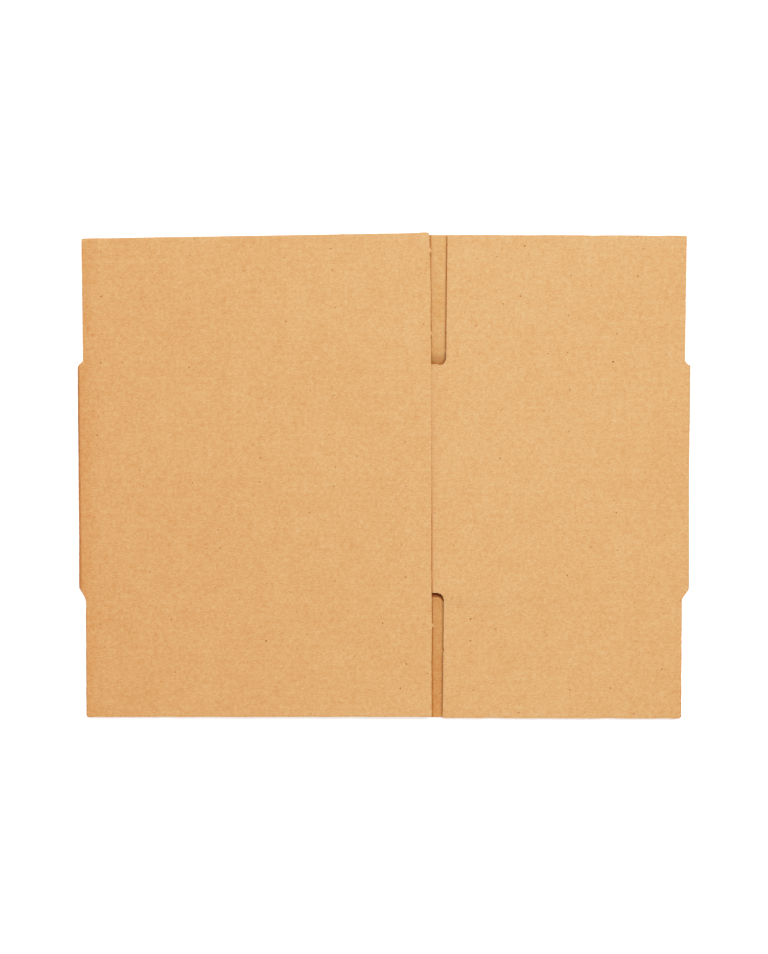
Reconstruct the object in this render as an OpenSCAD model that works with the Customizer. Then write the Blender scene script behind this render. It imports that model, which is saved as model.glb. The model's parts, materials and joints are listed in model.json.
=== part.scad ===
// Flattened cardboard box: a plain slotted carton of corrugated board, folded flat and glued
// along one tab. It lies on its back panels. +X runs along the flutes, +Y to the top flaps and
// +Z up through the layers, with the origin under the middle of the flat carton.

/* [Box] */
// Length of each long panel from score to score
box_length = 171; // [140:1:260]
// Width of each short panel from score to score
box_width = 119; // [90:1:135]
// Height of the four panels between the flap scores
box_height = 110; // [70:1:200]
// Depth of a flap from its score to its free edge
flap_depth = 59.5; // [35:0.5:80]

/* [Board] */
// Thickness of the corrugated board
board_t = 1.6; // [1.4:0.1:2.4]
// Thickness of each flat liner
liner_t = 0.2; // [0.15:0.05:0.3]
// Thickness of the fluted paper between the liners
medium_t = 0.2; // [0.15:0.05:0.3]
// Distance from one flute crest to the next
flute_pitch = 3.3; // [2.6:0.1:4.5]
// Width of the glued line where a flute meets a liner
glue_line = 0.4; // [0.3:0.05:0.7]

/* [Slots and scores] */
// Width of the slots between neighbouring flaps
slot_w = 6; // [4:0.5:9]
// Length by which a slot is cut past the flap scores
slot_over = 1.5; // [0.5:0.25:4]
// Radius of the softened free corners of the flaps
corner_r = 0.8; // [0.3:0.1:3]
// Width of a score's groove on the inner face
score_w = 2.4; // [1.6:0.1:3.6]
// Depth of a score's groove
score_depth = 0.8; // [0.4:0.1:1]
// Play between a hinged flap and its panel along the score
crease_gap = 0.1; // [0.06:0.02:0.3]

/* [Folds and glued joint] */
// Space left between the two layers at a flattened fold
fold_gap = 0.4; // [0.3:0.1:2]
// Width of the glue tab inside the joint
tab_w = 29; // [20:1:45]
// Length by which the tab's ends draw in towards its free edge
tab_taper = 7; // [3:0.5:15]
// Distance from the tab's score back to the long panel's cut edge
edge_set_back = 3; // [2:0.5:6]
// Depth by which the glued tab beds into the long panel's inner liner
glue_bed = 0.05; // [0.02:0.01:0.1]
// Height by which the front springs up at the tab's score
joint_lift = 1.2; // [0:0.1:6]
// Angle by which the long front panel is glued out of square
long_skew = 0.35; // [0:0.05:1]
// Angle by which the short front panel is glued out of square
short_skew = 0.33; // [0:0.05:1]

/* [Hidden] */
$fn = 64;
kraft = "#dfb078";
kraft_inside = "#d3a067";

// The flattened folds and the sheets between them
flat_w = box_length + box_width;
half_h = box_height / 2;
slot_end = half_h - slot_over;
flap_end = half_h + flap_depth;
fold_r = board_t + fold_gap / 2;
fold_x = flat_w / 2 - fold_r;
flap_x = slot_w / 2 - fold_r;
back_score_x = box_width - flat_w / 2;
long_reach = box_length - fold_r;
short_reach = box_width - fold_r;
edge_reach = long_reach - edge_set_back;
long_tilt = asin((joint_lift + board_t - glue_bed) / long_reach);
short_tilt = asin(joint_lift / short_reach);
lap = board_t;
spare = 1;

// The fluted paper follows a cosine between the liners
flute_amp = (board_t - 2 * liner_t - medium_t) / 2;
channel_half = (flute_pitch - glue_line) / 2;
channel_steps = [-1, -0.72, -0.38, 0, 0.38, 0.72, 1];
crush = slot_w / 2 + flute_pitch / 2;
flap_flutes = floor((flap_depth - crush) / flute_pitch);
panel_flutes = floor((half_h - crush) / flute_pitch);

function medium_z(u) = board_t / 2 + flute_amp * cos(360 * u / flute_pitch);
function medium_slope(u) = 2 * PI * flute_amp / flute_pitch * sin(360 * u / flute_pitch);
function medium_underside(u) = medium_z(u) - medium_t / 2 * sqrt(1 + pow(medium_slope(u), 2));
function channel_point(s) =
    [s * channel_half, abs(s) == 1 ? liner_t : medium_underside(s * channel_half)];

// A sheet is drawn with its inner face on z = 0. The long front panel leaves the left fold and
// the short one the right fold, each rising a little to the joint.
module long_frame() {
    translate([-fold_x, 0, fold_r]) rotate([0, -long_tilt, 0]) translate([0, 0, fold_gap / 2]) children();
}

module short_frame() {
    translate([fold_x, 0, fold_r]) mirror([1, 0, 0]) rotate([0, -short_tilt, 0])
        translate([0, 0, fold_gap / 2]) children();
}

module back_frame() {
    translate([0, 0, board_t]) mirror([0, 0, 1]) children();
}

// Profile in Y and Z drawn out along X
module along_x(x0, x1) {
    translate([x0, 0, 0]) rotate([90, 0, 90]) linear_extrude(x1 - x0) children();
}

// Profile in X and Z drawn out along Y, to the same length either way
module along_y(length) {
    rotate([90, 0, 0]) linear_extrude(length, center = true) children();
}

module both_ends() {
    children();
    mirror([0, 1, 0]) children();
}

// One slot with a round end, cut from the flaps' free edge to just past the score
module slot_outline(x) {
    translate([x, slot_end + slot_w / 2]) circle(d = slot_w);
    translate([x - slot_w / 2, slot_end + slot_w / 2]) square([slot_w, flap_depth + slot_over]);
}

// What a softened corner takes off a flap whose side edge is at x and which lies to its left,
// or to its right when turned
module corner_waste(x, turn = 0) {
    translate([x, flap_end]) rotate(turn) translate([-corner_r, -corner_r]) difference() {
        square(corner_r + spare);
        circle(corner_r);
    }
}

module score_profile() {
    polygon([[-score_w / 2 - score_w / score_depth * spare, -spare],
        [score_w / 2 + score_w / score_depth * spare, -spare], [0, score_depth]]);
}

module flap_score(x0, x1) {
    along_x(x0, x1) translate([half_h, 0]) score_profile();
}

module panel_score(x, length) {
    translate([x, 0, 0]) along_y(length) score_profile();
}

// Air channels of the flutes, count pitches back from the edge at y
module flute_profile(y, count) {
    for (i = [0 : count]) {
        translate([y - i * flute_pitch, 0]) polygon([for (s = channel_steps) channel_point(s)]);
        if (i < count)
            translate([y - (i + 0.5) * flute_pitch, board_t]) mirror([0, 1])
                polygon([for (s = channel_steps) channel_point(s)]);
    }
}

module flap_flutes(x0, x1) {
    along_x(x0 - spare, x1 + spare) flute_profile(flap_end, flap_flutes);
}

// A hinged flap from the slot at its fold to its far side, with any slots that cut into it
module flap(reach, side, slots) {
    difference() {
        linear_extrude(board_t) difference() {
            translate([0, half_h + crease_gap / 2]) square([reach, flap_depth - crease_gap / 2]);
            for (x = slots) slot_outline(x);
            corner_waste(flap_x, 90);
            corner_waste(side);
        }
        flap_score(-spare, reach + spare);
        flap_flutes(0, reach);
    }
}

module long_flap() {
    flap(edge_reach, edge_reach, [-fold_r]);
}

module short_flap() {
    flap(short_reach, short_reach - slot_w / 2, [-fold_r, short_reach]);
}

module long_flap_top() {
    color(kraft) long_frame() rotate(long_skew) long_flap();
}

module long_flap_bottom() {
    color(kraft) long_frame() rotate(long_skew) mirror([0, 1, 0]) long_flap();
}

module short_flap_top() {
    color(kraft) short_frame() rotate(short_skew) short_flap();
}

module short_flap_bottom() {
    color(kraft) short_frame() rotate(short_skew) mirror([0, 1, 0]) short_flap();
}

// Both back panels with their four flaps in one flat sheet
module back_sheet() {
    length = box_height + 2 * flap_depth;
    difference() {
        linear_extrude(board_t) difference() {
            square([2 * fold_x, length], center = true);
            both_ends() for (x = [-flat_w / 2, back_score_x, flat_w / 2]) {
                slot_outline(x);
                corner_waste(x - slot_w / 2);
                corner_waste(x + slot_w / 2, 90);
            }
        }
        both_ends() {
            flap_score(-flat_w, flat_w);
            flap_flutes(-flat_w, flat_w);
        }
        panel_score(back_score_x, box_height);
    }
}

// The board bent flat round a fold, with a short lap onto the sheets above and below
module fold_profile(tilt) {
    difference() {
        circle(fold_r);
        circle(fold_gap / 2);
        polygon([[0, 0], [0, -2 * fold_r], [2 * fold_r, -2 * fold_r], [2 * fold_r, 2 * fold_r],
            [-2 * fold_r * tan(tilt), 2 * fold_r]]);
    }
    translate([0, -fold_r]) square([lap, board_t]);
    rotate(tilt) translate([0, fold_gap / 2]) square([lap, board_t]);
}

module fold(tilt) {
    translate([-fold_x, 0, fold_r]) along_y(2 * slot_end) fold_profile(tilt);
}

// Outline of a front panel that starts square on its fold and is skewed beyond it
module skewed_panel(reach, skew, slots) {
    intersection() {
        rotate(skew) difference() {
            translate([-lap, -half_h + crease_gap / 2]) square([reach + lap, box_height - crease_gap]);
            both_ends() for (x = slots) slot_outline(x);
        }
        translate([0, -box_height]) square([2 * reach, 2 * box_height]);
    }
}

module long_panel() {
    long_frame() difference() {
        linear_extrude(board_t) skewed_panel(edge_reach, long_skew, [-fold_r]);
        rotate(long_skew) {
            both_ends() flap_score(-spare, edge_reach + spare);
            along_x(crush, edge_reach + spare)
                flute_profile(panel_flutes * flute_pitch, 2 * panel_flutes);
        }
    }
}

module short_panel() {
    short_frame() difference() {
        linear_extrude(board_t)
            skewed_panel(short_reach + lap, short_skew, [-fold_r, short_reach]);
        rotate(short_skew) both_ends() flap_score(-spare, short_reach + lap + spare);
    }
}

// The tab goes on from the short panel, glued under the long panel
module glue_tab() {
    long_frame() rotate(long_skew) translate([0, 0, glue_bed - board_t]) linear_extrude(board_t)
        polygon([[long_reach, half_h - score_w], [long_reach, score_w - half_h],
            [long_reach - tab_w, tab_taper + score_w - half_h],
            [long_reach - tab_w, half_h - score_w - tab_taper]]);
}

module front_sheet() {
    difference() {
        union() {
            long_panel();
            short_panel();
            glue_tab();
        }
        short_frame() rotate(short_skew) panel_score(short_reach, 2 * box_height);
    }
}

module carton() {
    color(kraft_inside) union() {
        back_frame() back_sheet();
        fold(long_tilt);
        mirror([1, 0, 0]) fold(short_tilt);
        front_sheet();
    }
}

carton();
long_flap_top();
long_flap_bottom();
short_flap_top();
short_flap_bottom();
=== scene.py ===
import json
import math

import bpy
import numpy as np
from mathutils import Matrix, Vector

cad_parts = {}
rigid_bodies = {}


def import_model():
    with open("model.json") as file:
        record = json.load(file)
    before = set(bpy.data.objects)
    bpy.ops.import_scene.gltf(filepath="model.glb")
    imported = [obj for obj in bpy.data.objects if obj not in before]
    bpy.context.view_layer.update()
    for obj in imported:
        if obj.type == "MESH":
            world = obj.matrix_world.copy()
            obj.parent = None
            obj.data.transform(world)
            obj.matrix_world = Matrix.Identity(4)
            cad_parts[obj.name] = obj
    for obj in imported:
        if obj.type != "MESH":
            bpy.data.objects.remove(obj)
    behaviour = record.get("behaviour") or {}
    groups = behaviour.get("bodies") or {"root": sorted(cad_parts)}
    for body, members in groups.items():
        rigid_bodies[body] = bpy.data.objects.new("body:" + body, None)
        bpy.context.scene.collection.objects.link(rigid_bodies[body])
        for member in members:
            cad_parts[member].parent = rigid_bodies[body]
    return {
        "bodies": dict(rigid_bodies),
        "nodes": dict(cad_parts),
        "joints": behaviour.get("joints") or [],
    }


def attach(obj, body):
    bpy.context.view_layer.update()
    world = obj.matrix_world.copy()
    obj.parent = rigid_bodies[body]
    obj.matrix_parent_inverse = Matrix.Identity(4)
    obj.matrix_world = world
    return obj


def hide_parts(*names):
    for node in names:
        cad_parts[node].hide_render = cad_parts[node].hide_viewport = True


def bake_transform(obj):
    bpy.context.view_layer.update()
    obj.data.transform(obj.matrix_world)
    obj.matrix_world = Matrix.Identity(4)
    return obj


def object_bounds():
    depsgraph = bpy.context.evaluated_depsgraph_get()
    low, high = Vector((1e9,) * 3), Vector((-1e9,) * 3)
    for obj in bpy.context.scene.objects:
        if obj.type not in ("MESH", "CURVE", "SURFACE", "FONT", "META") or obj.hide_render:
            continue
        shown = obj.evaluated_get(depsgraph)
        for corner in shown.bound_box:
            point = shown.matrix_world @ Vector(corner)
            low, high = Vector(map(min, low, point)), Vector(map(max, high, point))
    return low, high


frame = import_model()
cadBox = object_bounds()
mm = 0.001  # the mesh code below works in millimetres
print("frame: nodes", ", ".join(sorted(frame["nodes"])))


# Small helpers for smooth curves and seeded irregularity

def smoothStep(x, low, high):
    q = np.clip((x - low) / (high - low), 0, 1)
    return q * q * (3 - 2 * q)


def wander(x, seed, lengths, amount):
    rng = np.random.default_rng(seed)
    total = sum(np.sin(2 * np.pi * (x / length + rng.random())) for length in lengths)
    return amount * total / len(lengths)


def nicks(x, seed, span, look):
    rng = np.random.default_rng(seed)
    count = look["count"]
    total = 0 * x
    for place, size, wide in zip(rng.uniform(*span, count), rng.random(count), rng.random(count)):
        deep = look["deep"][0] + (look["deep"][1] - look["deep"][0]) * size
        half = look["wide"][0] + (look["wide"][1] - look["wide"][0]) * wide
        total = total + deep * np.exp(-((x - place) / half) ** 2)
    return total


def linear(red, green, blue):  # a screen colour as the linear one that sockets take
    def channel(c):
        return c / 12.92 if c <= 0.04045 else ((c + 0.055) / 1.055) ** 2.4
    return tuple(channel(c / 255) for c in (red, green, blue)) + (1,)


# The folded sheet's own frames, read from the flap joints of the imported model

joints = {j["name"]: j for j in frame["joints"]}


def panelFrame(prefix, towards):
    top = np.array(joints[prefix + "_top_fold"]["pos_m"]) / mm
    bottom = np.array(joints[prefix + "_bottom_fold"]["pos_m"]) / mm
    along = np.array(joints[prefix + "_top_fold"]["axis"]) * towards
    across = (top - bottom) / np.linalg.norm(top - bottom)
    up = np.cross(along, across) * towards
    return {"origin": (top + bottom) / 2, "along": along, "across": across, "up": up}


def localPoints(node, panel):
    flat = np.empty(3 * len(frame["nodes"][node].data.vertices))
    frame["nodes"][node].data.vertices.foreach_get("co", flat)
    axes = np.stack([panel["along"], panel["across"], panel["up"]])
    return (flat.reshape(-1, 3) / mm - panel["origin"]) @ axes.T


longPanel = panelFrame("long_flap", 1)
shortPanel = panelFrame("short_flap", -1)
backPanel = {"origin": np.zeros(3), "along": np.array([1.0, 0, 0]), "across": np.array([0, 1.0, 0]),
             "up": np.array([0, 0, -1.0])}

longPoints = localPoints("long_flap_top", longPanel)
shortPoints = localPoints("short_flap_top", shortPanel)
foldLine = cadBox[1].x / mm  # the flattened folds, at plus and minus this x
ringRadius = longPanel["origin"][2] / (1 + longPanel["up"][2])  # outer radius of a flattened fold
foldX = foldLine - ringRadius
thick = -longPoints[:, 2].min()
scoreY = np.linalg.norm(
    np.array(joints["long_flap_top_fold"]["pos_m"]) - joints["long_flap_bottom_fold"]["pos_m"]) / mm / 2
flapEnd = longPoints[:, 1].max()
cutEdge = longPoints[:, 0].max()  # the long front panel's cut edge over the glue tab
clearOfScore = longPoints[:, 1] > (scoreY + flapEnd) / 2
slotHalf = longPoints[clearOfScore, 0].min() + ringRadius
slotAt = shortPoints[shortPoints[:, 1] > (scoreY + flapEnd) / 2, 0].max() + slotHalf
tabRoot = cutEdge + slotHalf
backScore = slotAt + ringRadius - foldLine
jointX = foldX - slotAt
foldArc = math.pi * ringRadius

# start and direction of each panel on the unfolded sheet
longPanel.update(number=0, sheet=(0, -1))
shortPanel.update(number=1, sheet=(2 * foldArc + 2 * foldX, 1))
backPanel.update(number=2, sheet=(foldArc + foldX, 1))
print("sheet: board", round(thick, 2), "slot", round(2 * slotHalf, 2), "flap", round(flapEnd - scoreY, 2))


# The corrugated board: two liners with a fluted paper between them

board = {
    "liner": 0.2,
    "medium": 0.2,
    "pitch": 3.3,
    "bed": 0.01,          # how far the flute tips sink into the liners
    "leastSwing": 0.02,   # what a score leaves of the flutes' height
    "washboard": 0.006,   # print-through of the flutes on the faces
    "crush": 0.13,        # share of the thickness lost at a cut edge
    "crushMost": 1.6,     # and at a corner at most this many times as much
    "crushReach": 0.5,
    "scoreDeep": 0.8,
    "scoreFlat": 0.1,     # the same groove where the lower flaps lie pressed flat
    "scoreHalf": 1.2,
    "slotEnds": {1: 52.8, -1: 55.1},  # where the top and bottom slots stop
    "slotCorner": (2.4, 3.8),         # width and height of the rounding in a slot's closed end
    "webIn": 2.3,         # half width of a crease web
    "webTurn": 0.8,       # half width of the middle of a crease web
    "squareTurn": 0.9,    # turn round a fold, in radians, that takes up a front panel's skew
}
webLow = scoreY - board["webIn"]
webHigh = scoreY + board["webIn"]
webJoin = 0.2  # strip of a web that keeps the body's clean edge


def scoredThick(distance, deep=board["scoreDeep"]):
    return thick - deep * np.clip(1 - np.abs(distance) / board["scoreHalf"], 0, 1)


def layerDepths(layer, t, boardThick, crush):
    wave = 2 * np.pi * t / board["pitch"]
    ripple = board["washboard"] * (np.cos(wave) - 1)
    full = np.ones_like(t) * boardThick
    if layer == "outer":
        top = ripple
        bottom = 0 * t - board["liner"]
    elif layer == "inner":
        top = board["liner"] - full
        bottom = board["washboard"] * (np.cos(wave) + 1) - full
    else:
        swing = np.maximum((full - 2 * board["liner"] - board["medium"]) / 2, board["leastSwing"])
        slope = 2 * np.pi / board["pitch"] * swing * np.sin(wave)
        half = board["medium"] / 2 * np.sqrt(1 + slope ** 2)
        middle = swing * np.cos(wave) - full / 2
        top = np.minimum(middle + half, board["bed"] - board["liner"])
        bottom = np.maximum(middle - half, board["liner"] - board["bed"] - full)
    return [(n + full / 2) * (1 - crush) - full / 2 for n in (top, bottom)]


def edgeCrush(distance):
    return board["crush"] * np.exp(-(np.maximum(distance, 0) / board["crushReach"]) ** 2)


# How the front panels and the lower flaps lie
lie = {
    "bow": 0.11,            # gentle unevenness of the front panels
    "swell": 0.5,           # share by which slanting waves change it
    "waves": ((150, 83, 61), (170, 97, 58)),
    "slants": (0.6, -0.4),
    "seeds": (11, 31),
    "fromFold": (0, 30),    # it sets in over these distances
    "fromJoint": (6, 45),
    "droop": 0.75,          # sag of the short bottom flap beside its slot
    "droopFrom": 0.4,       # from this share of the way to the joint
    "droopReach": 9,
    "lift": 1.25,           # the lower top flaps spring up under the joint
    "liftEarly": 0.45,      # share of the rise close to the score
    "liftReach": 6,
    "liftPast": 6,          # the rest still rises at the flap's end
}


def lowerRise(u, v):
    side = np.where(u < jointX, (u + foldX) / (jointX + foldX), (foldX - u) / (foldX - jointX))
    past = np.maximum(v - scoreY, 0)
    early = 1 - np.exp(-past / lie["liftReach"])
    late = smoothStep(past, 0, flapEnd - scoreY + lie["liftPast"])
    return lie["lift"] * np.clip(side, 0, 1) * (lie["liftEarly"] * early + (1 - lie["liftEarly"]) * late)


def sag(panel, u, v):
    if panel is backPanel:
        return lowerRise(u, v)
    joint = cutEdge if panel is longPanel else slotAt
    firstSeed, secondSeed = (seed + panel["number"] for seed in lie["seeds"])
    swell = wander(u + lie["slants"][0] * v, firstSeed, lie["waves"][0], 1)
    swell = swell + wander(v + lie["slants"][1] * u, secondSeed, lie["waves"][1], 1)
    hold = smoothStep(u, *lie["fromFold"]) * smoothStep(joint - u, *lie["fromJoint"])
    down = lie["bow"] * hold * (1 + lie["swell"] * swell)
    if panel is shortPanel:
        beside = smoothStep(u, lie["droopFrom"] * joint, joint)
        down = down + lie["droop"] * beside * smoothStep(-v, scoreY, scoreY + lie["droopReach"])
    return down


def place(panel, u, v, n):
    turn = np.minimum(u, 0) / ringRadius if panel is not backPanel else 0 * u
    out = np.cos(turn)[..., None] * panel["up"] + np.sin(turn)[..., None] * panel["along"]
    square = smoothStep(-turn, 0, board["squareTurn"])[..., None]
    across = (1 - square) * panel["across"] + square * np.array([0, 1, 0])
    flat = np.maximum(u, 0) if panel is not backPanel else u
    base = panel["origin"] - ringRadius * panel["up"]
    lift = ringRadius + n - sag(panel, flat, v)
    return base + flat[..., None] * panel["along"] + v[..., None] * across + lift[..., None] * out


def sheetPoints(panel, u, v, n):
    start, sign = panel["sheet"]
    return np.stack(np.broadcast_arrays(start + sign * u, v, n), axis=-1)


# Closed meshes from pairs of grids

def slab(top, bottom, sheetTop, sheetBottom, finishes):
    rows, cols = top.shape[:2]
    ids = np.arange(rows * cols).reshape(rows, cols)
    low = ids + rows * cols
    upper = np.stack([ids[:-1, :-1], ids[:-1, 1:], ids[1:, 1:], ids[1:, :-1]], axis=-1).reshape(-1, 4)
    lower = np.stack([low[:-1, :-1], low[1:, :-1], low[1:, 1:], low[:-1, 1:]], axis=-1).reshape(-1, 4)
    rim = np.concatenate([ids[0, :-1], ids[:-1, -1], ids[-1, :0:-1], ids[:0:-1, 0]])
    after = np.roll(rim, -1)
    wall = np.stack([after, rim, rim + rows * cols, after + rows * cols], axis=-1)
    points = np.concatenate([top.reshape(-1, 3), bottom.reshape(-1, 3)])
    quads = np.concatenate([upper, lower, wall])
    a, b, c, d = (points[quads[:, k]] for k in range(4))
    volume = np.einsum("ij,ij->i", a + b + c + d, np.cross(c - a, d - b)).sum()
    if volume < 0:
        quads = quads[:, ::-1]
    marks = np.repeat(finishes, [len(upper), len(lower), len(wall)])
    sheet = np.concatenate([sheetTop.reshape(-1, 3), sheetBottom.reshape(-1, 3)])
    return points, quads, marks, sheet


def makePiece(name, shells, finishes, smoothAngle=38):
    starts = np.cumsum([0] + [len(shell[0]) for shell in shells])
    points = np.concatenate([shell[0] for shell in shells])
    quads = np.concatenate([shell[1] + start for shell, start in zip(shells, starts)])
    marks = np.concatenate([shell[2] for shell in shells])
    sheet = np.concatenate([shell[3] for shell in shells])
    mesh = bpy.data.meshes.new(name)
    mesh.vertices.add(len(points))
    mesh.vertices.foreach_set("co", (points * mm).astype(np.float32).ravel())
    mesh.loops.add(4 * len(quads))
    mesh.loops.foreach_set("vertex_index", quads.astype(np.int32).ravel())
    mesh.polygons.add(len(quads))
    mesh.polygons.foreach_set("loop_start", np.arange(0, 4 * len(quads), 4, dtype=np.int32))
    mesh.polygons.foreach_set("material_index", marks.astype(np.int32))
    mesh.update(calc_edges=True)
    mesh.validate()
    mesh.attributes.new("sheet", "FLOAT_VECTOR", "POINT")
    mesh.attributes["sheet"].data.foreach_set("vector", sheet.astype(np.float32).ravel())
    mesh.shade_smooth()
    mesh.set_sharp_from_angle(angle=math.radians(smoothAngle))
    for finish in finishes:
        mesh.materials.append(finish)
    piece = bpy.data.objects.new(name, mesh)
    bpy.context.scene.collection.objects.link(piece)
    print("piece:", name, 2 * len(quads), "triangles")
    return piece


# Finishes: a wrapped socket lets shader maths read as plain expressions

class Wire:
    def __init__(self, finish, socket):
        self.finish = finish
        self.socket = socket

    def other(self, name):
        return Wire(self.finish, self.socket.node.outputs[name])

    def maths(self, operation, *values):
        return self.finish.add("ShaderNodeMath", {"operation": operation}, dict(enumerate(values)))

    def __add__(self, other):
        return self.maths("ADD", self, other)

    def __radd__(self, other):
        return self.maths("ADD", other, self)

    def __sub__(self, other):
        return self.maths("SUBTRACT", self, other)

    def __rsub__(self, other):
        return self.maths("SUBTRACT", other, self)

    def __mul__(self, other):
        return self.maths("MULTIPLY", self, other)

    def __rmul__(self, other):
        return self.maths("MULTIPLY", other, self)

    def __truediv__(self, other):
        return self.maths("DIVIDE", self, other)

    def __rtruediv__(self, other):
        return self.maths("DIVIDE", other, self)

    def __abs__(self):
        return self.maths("ABSOLUTE", self)

    def __pow__(self, other):
        return self.maths("POWER", self, other)

    def __rpow__(self, other):
        return self.maths("POWER", other, self)


class Finish:
    def __init__(self, name, tree=None):
        self.material = None
        if tree is None:
            self.material = bpy.data.materials.new(name)
            self.material.use_nodes = True
            tree = self.material.node_tree
        self.tree = tree
        self.tree.nodes.clear()

    def add(self, kind, settings=None, inputs=None, output=0):
        node = self.tree.nodes.new(kind)
        for key, value in (settings or {}).items():
            if key == "stops":
                self.setStops(node.color_ramp, value)
            else:
                setattr(node, key, value)
        for key, value in (inputs or {}).items():
            if isinstance(value, Wire):
                self.tree.links.new(value.socket, node.inputs[key])
            else:
                node.inputs[key].default_value = value
        return Wire(self, node.outputs[output]) if node.outputs else None

    def setStops(self, ramp, stops):
        while len(ramp.elements) < len(stops):
            ramp.elements.new(0.5)
        for element, (position, colour) in zip(ramp.elements, stops):
            element.position = position
            element.color = colour

    def noise(self, vector, size, detail, rough):
        return self.add("ShaderNodeTexNoise", {"noise_dimensions": "3D"},
                        {"Vector": vector, "Scale": 1 / size, "Detail": detail, "Roughness": rough})

    def stretch(self, vector, scale, turn=0.0, shift=(0, 0)):
        return self.add("ShaderNodeMapping", None, {
            "Vector": vector, "Scale": scale, "Rotation": (0, 0, turn), "Location": (*shift, 0)})

    def range(self, value, low, high, outLow=0.0, outHigh=1.0):
        return self.add("ShaderNodeMapRange", {"interpolation_type": "SMOOTHSTEP"}, {
            "Value": value, "From Min": low, "From Max": high, "To Min": outLow, "To Max": outHigh})

    def fade(self, value, near, far, most=1.0):
        return self.range(value, near, far, most, 0.0)

    def mixed(self, factor, first, second):
        return self.add("ShaderNodeMix", {"data_type": "RGBA"}, {0: factor, 6: first, 7: second}, output=2)


# Flecks in the paper, in the order in which they are laid on
flecks = {
    "dust": {"colour": "speck", "strength": 0.65, "cell": 4.2, "share": 0.34, "size": (0.10, 0.26),
             "scale": (1, 1, 1), "turn": 0.4, "shift": (31.0, 21.7)},
    "shives": {"colour": "speck", "strength": 0.55, "cell": 6.0, "share": 0.26, "size": (0.10, 0.26),
               "scale": (0.28, 1.3, 1), "turn": 0.35, "shift": (57.0, 39.9)},
    "hairs": {"colour": "fibrePale", "strength": 0.45, "cell": 5.5, "share": 0.25, "size": (0.08, 0.2),
              "scale": (0.24, 1.5, 1), "turn": -0.5, "shift": (83.0, 58.1)},
    "spots": {"colour": "spot", "strength": 1.0, "cell": 11.0, "size": (0.26, 0.44),
              "scale": (1, 1, 1), "turn": 0.0, "shift": (0, 0)},
}
fleckEdge = (-0.5, 0.25)  # soft edge of a fleck, in shares of its least radius
fleckFaintest = 0.45
fleckBend = {"perMm": 2.4, "detail": 2.0, "amount": (0.5, 0.5, 0)}  # keeps them from being round


def specks(finish, vector, fleck, share):
    small, large = fleck["size"]
    drawn = finish.stretch(vector, fleck["scale"], fleck["turn"], fleck["shift"])
    nearest = finish.add("ShaderNodeTexVoronoi", {"voronoi_dimensions": "2D"}, {
        "Vector": drawn, "Scale": 1 / fleck["cell"]})
    chance = finish.add("ShaderNodeSeparateColor", None, {"Color": nearest.other("Color")})
    radius = small + (large - small) * chance.other("Green") ** 2.0
    inside = finish.fade(nearest * fleck["cell"] - radius, fleckEdge[0] * small, fleckEdge[1] * small)
    strength = fleckFaintest + (1 - fleckFaintest) * chance.other("Blue")
    return inside * chance.maths("LESS_THAN", chance, share) * strength


# The sheet's outside. Lengths are in millimetres, and a pair under a name that ends in Wide or Span
# gives where a mark is full and where it has gone.
kraftFace = {
    "deep": linear(216, 141, 70),
    "mid": linear(230, 179, 119),
    "pale": linear(240, 207, 156),
    "speck": linear(196, 112, 40),
    "spot": linear(168, 76, 8),
    "fibrePale": linear(243, 216, 168),
    "spotShare": 0.32,           # share of the cells that hold a dark spot
    "tone": 0.5,                 # deep is 0 and pale is 1
    "cloud": {"size": 48, "weight": 0.16, "detail": 3.0, "rough": 0.55},
    "patch": {"size": 9, "weight": 0.22, "detail": 2.0, "rough": 0.5},
    "mottle": {"size": 2.4, "weight": 0.55, "detail": 3.0, "rough": 0.6},
    "grain": {"size": 0.8, "weight": 1.05, "detail": 3.0, "rough": 0.62, "scale": (0.7, 1.2, 1.0)},
    "streak": {"size": 0.8, "weight": 0.35, "detail": 2.0, "rough": 0.55, "scale": (0.22, 1.5, 1.0),
               "turn": 0.10},
    "fluteTone": 0.012,
    "palest": {"at": 75, "tone": 0.055, "fall": 0.0007},  # painted light along x: palest at this x, with the fall on either side
    # painted light: the outside grows paler towards the top
    "towardsTop": 0.00033,
    "relief": {"grain": 0.55, "streak": 0.3, "mottle": 0.35},
    "bump": 0.5,
    "bumpDepth": 0.000015,       # in metres
    "roughness": {"base": 0.80, "mottle": 0.16, "streak": 0.1},
    "specular": 0.22,
    "sheen": {"weight": 0.03, "roughness": 0.6},
    "crushed": linear(190, 100, 28),
    "crushedPatch": (0.35, 0.65, 0.6, 1.0),  # patchy marks: the noise's range, and their least and most
    "folds": (0.67, 0.0),        # painted shade on the crests of the left and right folds
    "foldWide": (2.1, 3.3),
    "foldShade": (0.13, 0.0),    # and painted shade on the paper beside them
    "foldShadeWide": (2.5, 14),
    "glueLine": (0.80, 0.0),     # painted shade along the foot of the joint's cut edge, its strength from its bottom to its top
    "glueSpan": (-20, 40),
    "glueShift": 0.25,           # how far past the cut edge the line runs
    "glueWide": (0.15, 0.75),
    "backCrease": 0.16,          # the score between the two back panels
    "backCreaseWide": (0.2, 1.1),
}
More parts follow.
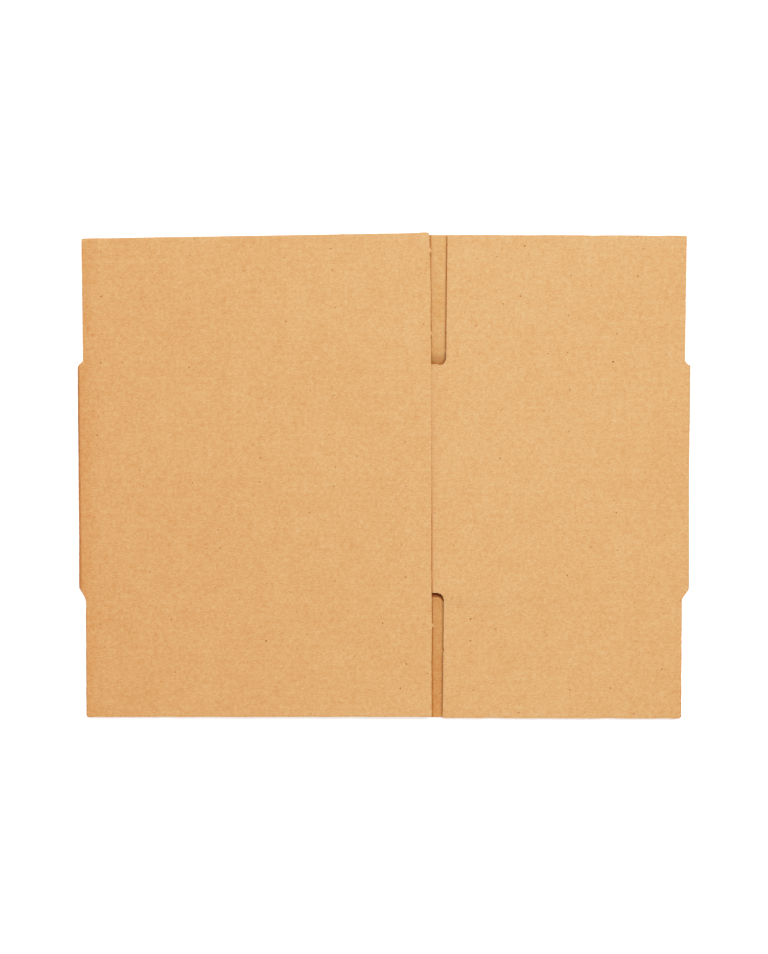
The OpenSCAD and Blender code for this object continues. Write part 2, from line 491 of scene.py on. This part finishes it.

# The inside, as far as it differs, with its worn scores and with painted shade where the upper layer's edges
# and the slots' closed ends shade it
kraftInner = dict(
    kraftFace,
    deep=linear(214, 134, 56),
    mid=linear(228, 173, 106),
    pale=linear(239, 204, 146),
    spotShare=0.16,
    tone=0.46,
    # painted shade: the inside grows darker towards the bottom, where the bottom slot's floor lies in shadow
    towardsTop=0.0014,
    bumpDepth=0.00002,
    crushed=(linear(190, 108, 30), linear(222, 122, 26)),  # painted shade colours, under the long and the short flaps' edges
    crushedPatch=(0.35, 0.6, 0.55, 1.0),
    # worn paper in the scores; the same colour paints the shade in the top slot's closed end
    worn=linear(184, 109, 38),
    shaded=linear(165, 76, 12),
    score=0.30,             # strength of the worn paper in a score
    scoreWide=(0.2, 1.5),
    bottomSpan=(-2, 2),     # from the bottom flaps' marks to the top flaps'
    slotStart=(-5, -3),     # the painted shade at the slots' closed ends begins here, from the score
    slotWide=(2, 4),        # and ends here, in half widths of a slot
    hollow=0.85,            # painted shadow in the closed end of the bottom slot
    hollowWide=(1.15, 1.95),
    hollowCup=2.2,          # how far this mark follows the end's rounded side
    hollowFrom=-0.1,
    valley=0.46,            # and painted shade in the closed end of the top slot, where the flap below rises
    valleyWide=(0.5, 5.0),
    valleyCup=1.4,          # rise of this mark towards both sides
    valleyCupMost=1.3,
    rim=1.1,                # and the painted shade's growth in the closed end
    rimWide=(-1.6, 0.4),
    pressed=0.75,           # strength of the painted shade lines under the upper flaps' edges
    pressedWide=(0.1, 0.75),
    pressedIn=1.1,          # the short flaps' edges, in half widths from the slot's middle
    pressedStart=((0, 2), (2, 14)),  # where the painted shade lines under the long and the short flaps set in, from the score
)


def scoredAndShadedInside(finish, look, paper, fields):
    across = fields["across"]
    x = fields["spot"] / mm
    beyond = abs(across) - scoreY
    bottom = finish.fade(across, *look["bottomSpan"])
    aside = (x - jointX) / slotHalf
    nearSlot = finish.range(beyond, *look["slotStart"]) * finish.fade(abs(aside), *look["slotWide"])
    side = finish.add("ShaderNodeClamp", None, {"Value": aside - look["hollowFrom"]})
    # painted shadow on the floor below the bottom slot's closed end
    hollow = look["hollow"] * finish.fade(beyond - look["hollowCup"] * side ** 2.0, *look["hollowWide"])
    # painted shade in the top slot's closed end, following its rounded outline
    cup = aside.maths("MINIMUM", abs(aside), look["valleyCupMost"])
    cupped = beyond - look["valleyCup"] * cup ** 2.0
    rim = finish.fade(cupped, *look["rimWide"], look["rim"])
    valley = look["valley"] * (finish.fade(cupped, *look["valleyWide"]) + rim)
    worn = look["score"] * finish.fade(abs(beyond), *look["scoreWide"])
    worn = worn.maths("MAXIMUM", worn, valley * nearSlot * (1 - bottom))
    paper = finish.mixed(worn, paper, look["worn"])
    paper = finish.mixed(hollow * nearSlot * bottom, paper, look["shaded"])
    # painted shade lines on the floor under the upper flaps' cut edges
    pressed = look["pressed"] * finish.range(fields["patch"], *look["crushedPatch"])
    edges = ((longPanel, cutEdge), (shortPanel, slotAt - look["pressedIn"] * slotHalf))
    for (panel, u), start, colour in zip(edges, look["pressedStart"], look["crushed"]):
        atScore = panel["origin"][0] + panel["along"][0] * u
        fromEdge = abs(x - atScore - float(panel["across"][0]) * across)
        mark = pressed * finish.range(beyond, *start) * finish.fade(fromEdge, *look["pressedWide"])
        paper = finish.mixed(mark, paper, colour)
    return paper


foldMiddles = (foldArc / 2, 1.5 * foldArc + 2 * foldX)


# Outside marks: the back panel's crushed score, and painted shade along the joint's cut edge and on the
# folds' crests
def creasedAndShadedOutside(finish, look, paper, fields):
    along = fields["along"]
    # painted shade on the short panel beside the long panel's cut edge
    jointShadeAt = shortPanel["sheet"][0] + slotAt + slotHalf + look["glueShift"]
    marks = finish.fade(abs(along - jointShadeAt), *look["glueWide"]) * finish.range(
        fields["across"], *look["glueSpan"], *look["glueLine"])
    crease = backPanel["sheet"][0] + backScore
    marks = marks + look["backCrease"] * finish.fade(abs(along - crease), *look["backCreaseWide"])
    # painted shade on the folds' crests, laid on in the crushed colour
    for middle, strength in zip(foldMiddles, look["folds"]):
        crest = strength * finish.fade(abs(along - middle), *look["foldWide"])
        marks = marks.maths("MAXIMUM", marks, crest)
    marks = marks * finish.range(fields["patch"], *look["crushedPatch"])
    return finish.mixed(marks, paper, look["crushed"])


def unevenness(finish, look, sheet):
    layers = {}
    for key in ("cloud", "patch", "mottle", "grain", "streak"):
        layer = look[key]
        drawn = sheet
        if "scale" in layer:
            drawn = finish.stretch(sheet, layer["scale"], layer.get("turn", 0.0))
        layers[key] = finish.noise(drawn, layer["size"], layer["detail"], layer["rough"])
    return layers


def kraftSurface(name, look, marking):
    finish = Finish(name)
    sheet = finish.add("ShaderNodeAttribute", {"attribute_name": "sheet"}, output="Vector")
    along = finish.add("ShaderNodeSeparateXYZ", None, {"Vector": sheet})
    across = along.other("Y")
    spot = finish.add("ShaderNodeSeparateXYZ", None, {
        "Vector": finish.add("ShaderNodeTexCoord", output="Object")})
    layers = unevenness(finish, look, sheet)
    tone = look["tone"]
    for key, layer in layers.items():
        tone = tone + look[key]["weight"] * (layer - 0.5)  # noise lies about one half
    tone = tone + look["fluteTone"] * across.maths("COSINE", across * (2 * math.pi / board["pitch"]))
    # painted light: paler towards one x and darker to either side
    palest = look["palest"]
    tone = tone + palest["tone"] - palest["fall"] * abs(spot / mm - palest["at"])
    # painted light and shade from the bottom to the top
    tone = tone + look["towardsTop"] * across
    # painted shade on the paper beside the folds
    for middle, shade in zip(foldMiddles, look["foldShade"]):
        tone = tone - shade * finish.fade(abs(along - middle), *look["foldShadeWide"])
    paper = finish.add("ShaderNodeValToRGB", {"stops": [
        (0.0, look["deep"]), (0.5, look["mid"]), (1.0, look["pale"])]}, {"Fac": tone})
    fields = {"spot": spot, "along": along, "across": across, "patch": layers["patch"]}
    coloured = marking(finish, look, paper, fields)
    tangle = finish.add("ShaderNodeTexNoise", None, {
        "Vector": sheet, "Scale": fleckBend["perMm"], "Detail": fleckBend["detail"]}, output="Color")
    bent = finish.add("ShaderNodeVectorMath", {"operation": "MULTIPLY_ADD"}, {
        0: tangle, 1: fleckBend["amount"], 2: sheet})
    for fleck in flecks.values():
        mark = specks(finish, bent, fleck, fleck.get("share", look["spotShare"]))
        coloured = finish.mixed(fleck["strength"] * mark, coloured, look[fleck["colour"]])
    relief = look["relief"]
    height = relief["grain"] * layers["grain"] + relief["streak"] * layers["streak"]
    height = height + relief["mottle"] * layers["mottle"]
    normal = finish.add("ShaderNodeBump", None, {
        "Strength": look["bump"], "Distance": look["bumpDepth"], "Height": height})
    roughness = look["roughness"]["base"]
    for key in ("mottle", "streak"):
        roughness = roughness + look["roughness"][key] * (layers[key] - 0.5)
    shader = finish.add("ShaderNodeBsdfPrincipled", None, {
        "Base Color": coloured, "Roughness": roughness, "Normal": normal,
        "Specular IOR Level": look["specular"], "Sheen Weight": look["sheen"]["weight"],
        "Sheen Roughness": look["sheen"]["roughness"]})
    finish.add("ShaderNodeOutputMaterial", None, {"Surface": shader})
    return finish.material


# Bare fibres: the fluted paper, and the liners and flutes where they are cut
rawPaper = {
    "fluted": {"colours": (linear(182, 106, 42), linear(207, 138, 68)), "scale": (0.25, 1.2, 1.2),
               "size": 0.5, "bumpDepth": 0.00005},
    "cut": {"colours": (linear(202, 118, 42), linear(229, 164, 82)), "scale": (1.0, 1.0, 2.5),
            "size": 0.35, "bumpDepth": 0.00006},
    "fibre": {"weight": 0.65, "detail": 3.0, "rough": 0.6},
    "patch": {"weight": 0.35, "size": 1.7, "detail": 2.0, "rough": 0.5},
    "toneSpan": (0.32, 0.66),
    "bump": 0.7,
    "roughness": {"base": 0.86, "patch": 0.1},
    "specular": 0.15,
}


def fibrousSurface(name, look):
    finish = Finish(name)
    sheet = finish.add("ShaderNodeAttribute", {"attribute_name": "sheet"}, output="Vector")
    strand = rawPaper["fibre"]
    blotch = rawPaper["patch"]
    drawn = finish.stretch(sheet, look["scale"])
    fibre = finish.noise(drawn, look["size"], strand["detail"], strand["rough"])
    patch = finish.noise(sheet, blotch["size"], blotch["detail"], blotch["rough"])
    tone = finish.range(strand["weight"] * fibre + blotch["weight"] * patch, *rawPaper["toneSpan"])
    normal = finish.add("ShaderNodeBump", None, {
        "Strength": rawPaper["bump"], "Distance": look["bumpDepth"], "Height": fibre})
    roughness = rawPaper["roughness"]["base"] + rawPaper["roughness"]["patch"] * (patch - 0.5)
    shader = finish.add("ShaderNodeBsdfPrincipled", None, {
        "Base Color": finish.mixed(tone, *look["colours"]), "Roughness": roughness,
        "Normal": normal, "Specular IOR Level": rawPaper["specular"]})
    finish.add("ShaderNodeOutputMaterial", None, {"Surface": shader})
    return finish.material


finishes = [
    kraftSurface("kraftOutside", kraftFace, creasedAndShadedOutside),
    kraftSurface("kraftInside", kraftInner, scoredAndShadedInside),
    fibrousSurface("flutedPaper", rawPaper["fluted"]),
    fibrousSurface("cutPaper", rawPaper["cut"]),
]
outside, inside, fluted, cut = range(4)
layerFinish = {  # upper face, lower face and rim of each paper
    "outer": (outside, fluted, cut),
    "medium": (fluted, fluted, cut),
    "inner": (fluted, inside, cut),
}
print("finishes:", ", ".join(finish.name for finish in finishes))


# Where a slot meets a fold the corner is drawn in, a little differently at each of the four

foldCorners = {
    "leftTop": {"start": 52.3, "length": 3.0, "deep": 3.35, "form": "straight"},
    "leftBottom": {"start": 49.7, "length": 9.5, "deep": 3.6, "form": "drawn"},
    "rightTop": {"start": 53.3, "length": 3.0, "deep": 3.3, "form": "round"},
    "rightBottom": {"start": 50.7, "length": 7.6, "deep": 3.55, "form": "drawn"},
    "back": {"start": 53.5, "length": 3.0, "deep": 3.35, "form": "round"},
}
ringLimit = 0.99  # the flaps stop just short of a fold's outermost line


def cornerInset(corner, v):
    q = np.clip((v - corner["start"]) / corner["length"], 0, 1)
    if corner["form"] == "round":
        return corner["deep"] * np.sqrt(1 - (1 - q) ** 2)
    if corner["form"] == "drawn":
        return corner["deep"] * q * q * (3 - 2 * q)
    return corner["deep"] * q


def cornerReach(corner, inset):
    v = np.linspace(corner["start"], corner["start"] + corner["length"], 400)
    return np.interp(inset, cornerInset(corner, v), v)


def slotWidth(v, side):
    wide, tall = board["slotCorner"]
    slotEnd = board["slotEnds"][side]
    short = np.clip((slotEnd + tall - v) / tall, 0, 1)
    return np.where(v < slotEnd, 0, slotHalf - wide * (1 - np.sqrt(1 - short ** 2)))


# Cut edges wander and have small nicks: along the joint, the flaps' free ends and their sides
ragged = {
    "amount": 0.07,
    "reach": 1.4,      # how far into the sheet the wander is felt
    "endIn": 0.09,     # keeps the free ends within the part
    "cut": {"waves": (1.1, 2.3, 4.7, 11), "count": 26, "deep": (0.048, 0.16), "wide": (0.2, 0.7)},
    "end": {"waves": (1.3, 2.9, 7, 19), "count": 14, "deep": (0.066, 0.22), "wide": (0.24, 0.84)},
    "side": {"waves": (1.2, 2.7, 6.1, 17), "count": 9, "deep": (0.048, 0.16), "wide": (0.2, 0.7)},
    "cutSeeds": (71, 72),
    "endSeeds": (0, 40),     # of the wander and the nicks, from the flap's own seed
    "loSeeds": (80, 90),
    "hiSeeds": (120, 130),
    # how the long panel's cut edge strays on its way up
    "course": ((-112, -0.28), (-90, -0.43), (-70, -0.13), (-45, -0.46), (0, -0.11), (45, -0.10),
               (64, -0.02), (72, -0.03), (80, 0.13), (86, 0.3), (112, -0.10)),
    # tufts of its outer liner: where, how far they stand out and how wide they are
    "tufts": ((106.0, 1.0, 0.7), (67.2, 0.8, 0.6), (-70.3, 1.0, 0.6), (-96.0, 0.25, 0.5), (21.0, 0.2, 0.8)),
}


def raggedEdge(x, kind, seeds, span, nickSign=-1):
    look = ragged[kind]
    return wander(x, seeds[0], look["waves"], ragged["amount"]) + nickSign * nicks(x, seeds[1], span, look)


def cutRag(v, layer):
    rag = raggedEdge(v, "cut", ragged["cutSeeds"], (-flapEnd, flapEnd))
    rag = rag + np.interp(v, *zip(*ragged["course"]))
    if layer == "outer":
        rag = rag + sum(far * np.exp(-((v - at) / wide) ** 2) for at, far, wide in ragged["tufts"])
    return rag


# Flaps, each between its crease and its free edge: what bounds them at either side, what is trimmed
# off their ends and how their sides slant

flapLooks = {
    "long_flap_top": {
        "panel": longPanel, "side": 1, "lo": ("fold", "leftTop"), "hi": ("cut", cutEdge),
        "trim": (1.3, 0.22), "slant": (-0.12, -0.62), "corner": (0.5, 0.25), "seed": 101,
        "rise": 0.25, "riseFrom": (4.6, 3.2)},  # the free end steps up beside the joint
    "long_flap_bottom": {
        "panel": longPanel, "side": -1, "lo": ("fold", "leftBottom"), "hi": ("cut", cutEdge),
        "trim": (0.5, 0.65), "slant": (-0.15, -0.25), "corner": (0.5, 0.5), "seed": 102},
    "short_flap_top": {
        "panel": shortPanel, "side": 1, "lo": ("fold", "rightTop"), "hi": ("slot", slotAt),
        "trim": (0.3, 0.5), "slant": (-0.2, -0.2), "corner": (0.8, 0.5), "seed": 103, "slotGain": 1.105},
    "short_flap_bottom": {
        "panel": shortPanel, "side": -1, "lo": ("fold", "rightBottom"), "hi": ("slot", slotAt),
        "trim": (0.7, 0.1), "slant": (0.05, 0.2), "corner": (0.35, 0.5), "seed": 104, "slotGain": 1.06},
    "back_short_flap_top": {
        "panel": backPanel, "side": 1, "lo": ("backFold", -1), "hi": ("slot", backScore),
        "trim": (1.7, 0.8), "slant": (0.0, 0.0), "corner": (0.6, 0.6), "seed": 105},
    "back_short_flap_bottom": {
        "panel": backPanel, "side": -1, "lo": ("backFold", -1), "hi": ("slot", backScore),
        "trim": (0.7, 0.9), "slant": (0.0, 0.0), "corner": (0.6, 0.6), "seed": 106},
    "back_long_flap_top": {
        "panel": backPanel, "side": 1, "lo": ("slot", backScore), "hi": ("backFold", 1),
        "trim": (-0.8, 0.9), "slant": (0.0, 0.0), "corner": (0.6, 0.6), "seed": 107},
    "back_long_flap_bottom": {
        "panel": backPanel, "side": -1, "lo": ("slot", backScore), "hi": ("backFold", 1),
        "trim": (0.75, 0.6), "slant": (0.0, 0.0), "corner": (0.6, 0.6), "seed": 108},
}


def sideEdge(look, end, v):
    kind, what = look[end]
    sign = 1 if end == "lo" else -1
    if kind == "fold":
        fromRing = cornerInset(foldCorners[what], v) - ringRadius
        onRing = -ringRadius * np.arcsin(np.clip(-fromRing / ringRadius, 0, ringLimit))
        return np.where(fromRing < 0, onRing, fromRing)
    if kind == "backFold":
        return what * (foldX - np.maximum(cornerInset(foldCorners["back"], v) - ringRadius, 0))
    if kind == "slot":
        return what + sign * slotWidth(v, look["side"]) * look.get("slotGain", 1)
    return what + 0 * v


def roundedBy(gap, radius):
    return radius - np.sqrt(np.maximum(radius ** 2 - np.maximum(radius - gap, 0) ** 2, 0))


def freeEnd(look, c):
    width = cutEdge if look["panel"] is longPanel else slotAt
    end = flapEnd - look["trim"][0] * (1 - c) - look["trim"][1] * c - ragged["endIn"]
    seeds = [look["seed"] + more for more in ragged["endSeeds"]]
    end = end + raggedEdge(c * width, "end", seeds, (0, width))
    if "rise" in look:
        start, full = look["riseFrom"]
        end = end + look["rise"] * smoothStep(c * width, width - start, width - full)
    return end


def flapGrid(look, layer, columns, rows, low, high):
    c = np.array(columns)[None, :]
    q = np.array(rows)[:, None]
    sideways = look["side"]
    onCut = look["hi"][0] == "cut"
    end = freeEnd(look, c)
    v = low + q * ((high if high else end) - low) + 0 * c
    gap = end - v
    out = np.clip((v - scoreY) / (flapEnd - scoreY), 0, 1)
    fade = smoothStep(v, webLow + webJoin, webHigh)
    lo = sideEdge(look, "lo", v) + look["slant"][0] * out + roundedBy(gap, look["corner"][0])
    hi = sideEdge(look, "hi", v) + look["slant"][1] * out - roundedBy(gap, look["corner"][1])
    loSeeds, hiSeeds = ([look["seed"] + more for more in ragged[key]] for key in ("loSeeds", "hiSeeds"))
    loRag = fade * raggedEdge(v, "side", loSeeds, (scoreY, flapEnd), 1)
    hiRag = cutRag(sideways * v, layer) if onCut else fade * raggedEdge(v, "side", hiSeeds, (scoreY, flapEnd))
    u = lo + c * (hi - lo)
    crush = edgeCrush(gap) + fade * edgeCrush(u - lo)
    crush = crush + edgeCrush(hi - u) * (1 if onCut else fade)
    u = u + loRag * np.exp(-(u - lo) / ragged["reach"]) + hiRag * np.exp(-(hi - u) / ragged["reach"])
    return u, sideways * v, np.minimum(crush, board["crushMost"] * board["crush"])


# Rows and columns stand close together at cut edges, folds and slots
edgeSteps = np.array([0, 0.06, 0.15, 0.28, 0.45, 0.7, 1.1, 1.8, 3.0])
foldSteps = np.array([0, 0.4, 1.0, 2.0, 4.0])
slotSteps = np.array([0, 0.3, 0.6, 0.9, 1.2, 1.32, 1.7, 2.4, 3.6, 6.0])
slotEndRows = {"below": 5, "above": 14, "step": 0.01}
fewestColumns = 3
flapMesh = {"outer": (5, 8), "medium": (16, 8), "inner": (9, 4)}  # column width, rows to a flute
bodyMesh = {"outer": (5, 4), "medium": (24, 8), "inner": (9, 4)}


def columnsTo(width, step, start, end):
    points = np.linspace(start[-1], width - end[-1], max(fewestColumns, int(width / step)))
    return np.concatenate([start[:-1], points, width - end[-2::-1]])


def slotRows(low, high, side):
    slotEnd = board["slotEnds"][side]
    below = np.linspace(low, slotEnd, slotEndRows["below"])
    above = np.linspace(slotEnd + slotEndRows["step"], high, slotEndRows["above"])
    return np.concatenate([below, above]) - low


def flapRows(low, step, side):
    depth = flapEnd - low
    start = slotRows(low, scoreY + board["slotCorner"][1], side) if low < scoreY else np.zeros(1)
    inner = np.linspace(start[-1], depth - edgeSteps[-1], int(depth / step))
    return np.concatenate([start[:-1], inner, depth - edgeSteps[-2::-1]]) / depth


def flapShells(look, low, high):
    panel = look["panel"]
    width = slotAt - slotHalf if panel is shortPanel else cutEdge
    shells = []
    for layer, (step, rowsPerFlute) in flapMesh.items():
        if high:
            rows = slotRows(low, high, look["side"]) / (high - low)
        else:
            rows = flapRows(low, board["pitch"] / rowsPerFlute, look["side"])
        columns = columnsTo(width, step, edgeSteps, edgeSteps) / width
        u, v, crush = flapGrid(look, layer, columns, rows, low, high)
        deep = board["scoreFlat"] if panel is backPanel else board["scoreDeep"]
        depths = layerDepths(layer, v, scoredThick(np.abs(v) - scoreY, deep), crush)
        grids = [place(panel, u, v, n) for n in depths]
        sheets = [sheetPoints(panel, u, v, n) for n in depths]
        shells.append(slab(*grids, *sheets, layerFinish[layer]))
    return shells


for name, look in flapLooks.items():
    hinged = name in frame["bodies"]
    flap = makePiece(name + "_board", flapShells(look, webHigh if hinged else webLow, None), finishes)
    if not hinged:
        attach(flap, "carton")
        continue
    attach(flap, name)
    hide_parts(name)
    web = makePiece(name + "_crease", flapShells(look, webLow, webHigh), finishes)
    middle = look["panel"]["origin"] + look["panel"]["along"] * cutEdge / 3
    across = look["panel"]["across"] * look["side"]
    turn = board["webTurn"]
    Vector((middle + across * (scoreY - turn)) * mm)
    Vector((middle + across * (scoreY + turn)) * mm)
    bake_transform(web)
print("flaps:", len(flapLooks))


# The body: one sheet from the long panel's cut edge round both folds to the glue tab

wrap = {
    "foldColumns": 22,
    "foldScallop": 0.05,   # flutes showing on the outside of the folds
    "foldWander": {"amount": 0.06, "seed": 33, "waves": (5.3, 13, 37)},
    "backCorners": (1.35, 1.8),  # turn of a fold, in radians, where its front corners end
    "leftCourse": ((-50, 0.20), (-30, 0.33), (50, 0.0)),   # how far each fold is drawn in on its way up
    "rightCourse": ((-50, 0.10), (-30, 0.15), (-2, 0.42), (15, 0.25), (50, 0.0)),
    "tabWidth": 29,
    "tabStraight": 3.6,    # the tab's ends draw in from here
    "tabTaper": 8.8,
    "tabStep": 0.02,       # its own columns begin this far past the score
    "glueBed": 0.05,
}
farOff = 99.0  # stands for no edge or score near a column


def wrapColumns(step):
    parts = []

    def part(u, panel, **more):
        count = len(u)
        start, sign = panel["sheet"]
        made = {
            "origin": panel["origin"] + u[:, None] * panel["along"],
            "along": np.tile(panel["along"], (count, 1)),
            "across": np.tile(panel["across"], (count, 1)),
            "up": np.tile(panel["up"], (count, 1)),
            "s": start + sign * u, "u": u, "hi": np.full(count, webLow), "lo": np.full(count, -webLow),
            "score": np.full(count, farOff), "edge": np.full(count, farOff), "ring": np.zeros(count),
            "panel": np.full(count, panel["number"]),
        }
        made.update(more)
        parts.append(made)
        return made

    def fold(panel, sign, corners, start):
        turn = np.linspace(0, math.pi, wrap["foldColumns"] + 1)[1:-1]
        if sign > 0:
            turn = turn[::-1]
        centre = np.array([sign * foldX, 0, ringRadius])
        sideways = np.array([sign, 0, 0])
        tilt = math.atan2(panel["up"] @ sideways, panel["up"][2])
        angle = tilt + turn / math.pi * (math.pi - tilt)
        up = np.cos(angle)[:, None] * np.array([0, 0, 1]) + np.sin(angle)[:, None] * sideways
        skew = (1 - smoothStep(turn, 0, board["squareTurn"]))[:, None]
        across = skew * panel["across"] + (1 - skew) * np.array([0, 1, 0])
        inset = ringRadius * (1 - np.sin(angle))
        front = 1 - smoothStep(turn, *wrap["backCorners"])
        reach = [front * cornerReach(foldCorners[c], inset)
                 + (1 - front) * cornerReach(foldCorners["back"], inset) for c in corners]
        part(turn * 0, panel, origin=centre + ringRadius * up, up=up,
             across=across / np.linalg.norm(across, axis=1)[:, None],
             s=start + ringRadius * (turn if sign < 0 else math.pi - turn),
             hi=np.minimum(webLow, reach[0]), lo=-np.minimum(webLow, reach[1]), ring=np.sin(angle))

    u = columnsTo(cutEdge, step, edgeSteps, foldSteps)
    part(cutEdge - u, longPanel, edge=u)
    fold(longPanel, -1, ("leftTop", "leftBottom"), 0)
    left = columnsTo(backScore + foldX, step, foldSteps, slotSteps) - foldX
    right = columnsTo(foldX - backScore, step, slotSteps, foldSteps)[1:] + backScore
    x = np.concatenate([left, right])
    part(x, backPanel, score=x - backScore)
    fold(shortPanel, 1, ("rightTop", "rightBottom"), foldArc + 2 * foldX)
    u = columnsTo(slotAt, step, foldSteps, slotSteps)
    part(u, shortPanel, score=u - slotAt)
    rootSteps = np.concatenate([[0, wrap["tabStep"]], slotSteps[1:]])
    d = columnsTo(wrap["tabWidth"], step, rootSteps, edgeSteps)[1:]
    drawnIn = np.clip((d - wrap["tabStraight"]) / (wrap["tabWidth"] - wrap["tabStraight"]), 0, 1)
    top, bottom = (board["slotEnds"][side] - wrap["tabTaper"] * drawnIn for side in (1, -1))
    part(tabRoot - d, longPanel, s=shortPanel["sheet"][0] + slotAt + d, score=d, hi=top, lo=-bottom,
         edge=wrap["tabWidth"] - d,
         origin=longPanel["origin"] + (tabRoot - d)[:, None] * longPanel["along"]
         + (wrap["glueBed"] - thick) * longPanel["up"])
    made = {key: np.concatenate([p[key] for p in parts]) for key in parts[0]}

    # the front's two skews and slopes meet in the tab's score
    near = smoothStep(made["s"] - shortPanel["sheet"][0] - slotAt, -board["scoreHalf"], board["scoreHalf"])
    beside = (made["s"] > shortPanel["sheet"][0])[:, None]
    for key in ("across", "up"):
        meet = (1 - near)[:, None] * shortPanel[key] + near[:, None] * longPanel[key]
        made[key] = np.where(beside, meet / np.linalg.norm(meet, axis=1)[:, None], made[key])
    return made


def wrapShell(layer, step, rowsPerFlute):
    made = wrapColumns(step)
    count = int(round(2 * webLow / board["pitch"] * rowsPerFlute)) + 1
    q = np.linspace(0, 1, count)[:, None]
    t = made["lo"] + q * (made["hi"] - made["lo"])
    crush = edgeCrush(made["edge"] + 0 * t)
    depths = layerDepths(layer, t, scoredThick(made["score"]), crush)
    u = made["u"] + 0 * t
    down = 0 * t
    for panel in (longPanel, shortPanel):
        down = np.where(made["panel"] == panel["number"], sag(panel, u, t), down)
    dent = wrap["foldScallop"] * (1 - np.cos(2 * np.pi * t / board["pitch"])) / 2
    course = np.where(made["origin"][:, 0] < 0, np.interp(t, *zip(*wrap["leftCourse"])),
                      np.interp(t, *zip(*wrap["rightCourse"])))
    stray = wrap["foldWander"]
    dent = dent + course + stray["amount"] * (1 + wander(t, stray["seed"], stray["waves"], 1))
    dent = dent * made["ring"] ** 2
    onCut = (made["panel"] == 0) & (made["s"] < 0)
    rag = cutRag(t, layer) * np.exp(-made["edge"] / ragged["reach"]) * onCut
    grids = []
    sheets = []
    for n in depths:
        points = made["origin"] + rag[..., None] * made["along"] + t[..., None] * made["across"]
        grids.append(points + (n - down - dent)[..., None] * made["up"])
        sheets.append(np.stack(np.broadcast_arrays(made["s"] + 0 * t, t, n), axis=-1))
    return slab(*grids, *sheets, layerFinish[layer])


bodyNames = {"outer": "body_outer_liner", "medium": "body_flutes", "inner": "body_inner_liner"}
for layer, (step, rowsPerFlute) in bodyMesh.items():
    piece = makePiece(bodyNames[layer], [wrapShell(layer, step, rowsPerFlute)], finishes)
    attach(piece, "carton")
    if layer == "outer":
        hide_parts("carton")
print("body: wrapped")


# Floor, light and camera

studio = {
    "floorSize": 6.0,
    "floorDrop": 0.00015,
    "floorColour": linear(236, 236, 236),
    "floorGlow": 0.55,
    "floorWhite": (0.35, 1.0),  # beyond here the floor is plain white
    "ambient": 0.31,
    "ambientColour": (1.04, 1.0, 0.90, 1),
    "keyPlace": (0.75, 1.95, 4.875),
    "keySize": (3.75, 0.875),
    "keyPower": 206.0,
    "keyColour": (0.98, 1.0, 1.05),
    "fillPlace": (-0.9, -0.5, 1.1),
    "fillSize": (1.4, 1.4),
    "fillPower": 1.2,
    "fillColour": (1, 1, 1),
}


def seenDirectly(finish):
    camera = finish.add("ShaderNodeLightPath", output="Is Camera Ray")
    mirrored = camera.maths("MAXIMUM", camera.other("Is Glossy Ray"), camera.other("Is Transmission Ray"))
    return camera.maths("MAXIMUM", camera, mirrored)


def makeFloor():
    half = studio["floorSize"] / 2
    corners = ((-half, -half), (half, -half), (half, half), (-half, half))
    mesh = bpy.data.meshes.new("floor")
    mesh.from_pydata([(x, y, -studio["floorDrop"]) for x, y in corners], [], [(0, 1, 2, 3)])
    floor = bpy.data.objects.new("floor", mesh)
    bpy.context.scene.collection.objects.link(floor)
    finish = Finish("paleFloor")
    shown = seenDirectly(finish)
    paint = finish.add("ShaderNodeBsdfDiffuse", None, {"Color": studio["floorColour"]})
    glow = finish.add("ShaderNodeEmission", None, {"Strength": studio["floorGlow"] * shown})
    near = finish.add("ShaderNodeAddShader", None, {0: paint, 1: glow})
    far = finish.add("ShaderNodeEmission")
    distance = finish.add("ShaderNodeVectorMath", {"operation": "LENGTH"}, {
        0: finish.add("ShaderNodeTexCoord", output="Object")}, output="Value")
    white = shown * finish.range(distance, *studio["floorWhite"])
    both = finish.add("ShaderNodeMixShader", None, {0: white, 1: near, 2: far})
    finish.add("ShaderNodeOutputMaterial", None, {"Surface": both})
    mesh.materials.append(finish.material)


def makeLamp(name):
    lamp = bpy.data.lights.new(name, "AREA")
    lamp.shape = "RECTANGLE"
    lamp.size, lamp.size_y = studio[name + "Size"]
    lamp.energy = studio[name + "Power"]
    lamp.color = studio[name + "Colour"]
    holder = bpy.data.objects.new(name, lamp)
    holder.location = studio[name + "Place"]
    holder.rotation_euler = holder.location.to_track_quat("Z", "Y").to_euler()
    bpy.context.scene.collection.objects.link(holder)


def makeWorld():
    world = bpy.data.worlds.new("studio")
    bpy.context.scene.world = world
    world.use_nodes = True
    finish = Finish("studio", world.node_tree)
    shown = seenDirectly(finish)
    light = finish.add("ShaderNodeBackground", None, {
        "Color": finish.mixed(shown, studio["ambientColour"], (1, 1, 1, 1)),
        "Strength": studio["ambient"] + (1 - studio["ambient"]) * shown})
    finish.add("ShaderNodeOutputWorld", None, {"Surface": light})


makeFloor()
makeWorld()
makeLamp("key")
makeLamp("fill")

view = {
    "distance": 0.700,
    "lens": 55.60,
    "sensor": 36,
    "clipStart": 0.01,
    "pitch": math.radians(1.588),
    "yaw": math.radians(-0.792),
    "roll": math.radians(-0.058),
    "aim": (0.00040, 0.00055, 0.0),
}


def makeCamera():
    data = bpy.data.cameras.new("camera")
    data.lens = view["lens"]
    data.sensor_width = view["sensor"]
    data.clip_start = view["clipStart"]
    camera = bpy.data.objects.new("camera", data)
    turn = (Matrix.Rotation(view["roll"], 4, "Z") @ Matrix.Rotation(view["yaw"], 4, "Y")
            @ Matrix.Rotation(view["pitch"], 4, "X")).inverted()
    back = Matrix.Translation((0, 0, view["distance"]))
    camera.matrix_world = Matrix.Translation(view["aim"]) @ turn @ back
    bpy.context.scene.collection.objects.link(camera)
    bpy.context.scene.camera = camera


makeCamera()
bpy.context.scene.view_settings.view_transform = "Standard"
print("studio: floor, lamps and camera")
